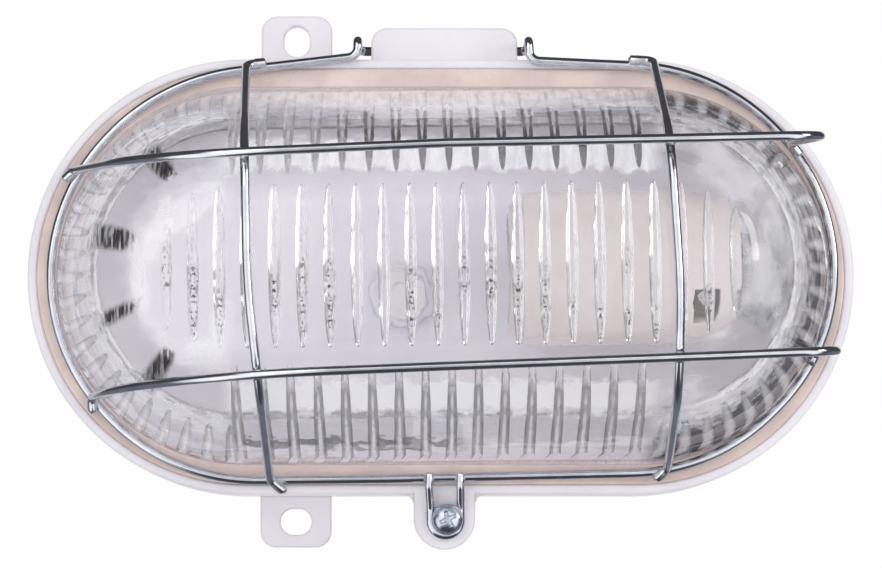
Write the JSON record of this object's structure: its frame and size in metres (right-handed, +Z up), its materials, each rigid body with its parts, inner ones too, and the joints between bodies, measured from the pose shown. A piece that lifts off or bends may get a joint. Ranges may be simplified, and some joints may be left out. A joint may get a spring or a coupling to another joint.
{
  "type": "bulkhead light",
  "caption": "Oval wall light with a moulded base, a ribbed glass on a rubber gasket, a porcelain screw lampholder and a hinged wire guard held shut by a screw.",
  "frame": {"origin": "middle of the base's back face, on the wall plane", "axes": "+X along the light's length to the right as seen from the front, +Y into the wall, +Z up"},
  "size_m": [0.2144, 0.0851, 0.1407],
  "materials": {
    "white_plastic": "satin",
    "tan_rubber": "matt",
    "clear_glass": "polished, pressed ribs inside",
    "pale_rubber": "matt",
    "porcelain": "glazed",
    "brass": "plain",
    "spring_brass": "plain",
    "nickel_plate": "nickel plated",
    "zinc_plate": "zinc plated",
    "zinc_wire": "bright zinc plated wire",
    "zinc_screw": "zinc plated"
  },
  "bodies": {
    "housing": {"base": "white_plastic", "gasket": "tan_rubber", "glass": "clear_glass", "cable_grommet": "pale_rubber", "lampholder_body": "porcelain", "screw_shell": "brass", "centre_contact": "spring_brass", "shell_contact": "spring_brass", "live_terminal": "brass", "neutral_terminal": "nickel_plate", "terminal_screws": "nickel_plate", "holder_bracket": "zinc_plate", "holder_screws": "zinc_plate", "bracket_screws": "zinc_plate"},
    "guard": {"guard_ring": "zinc_wire", "guard_bar_upper": "zinc_wire", "guard_bar_lower": "zinc_wire", "guard_bar_left": "zinc_wire", "guard_bar_right": "zinc_wire", "guard_loop": "zinc_wire"},
    "screw": {"guard_screw": "zinc_screw"}
  },
  "joints": [
    {"name": "guard_hinge", "type": "hinge", "parent": "housing", "child": "guard", "pos_m": [0, -0.015, 0.0595], "axis": [-1, 0, 0], "range_deg": [0, 105]},
    {"name": "guard_screw_out", "type": "slide", "parent": "guard", "child": "screw", "axis": [0, -1, 0], "range_m": [0, 0.009]}
  ]
}
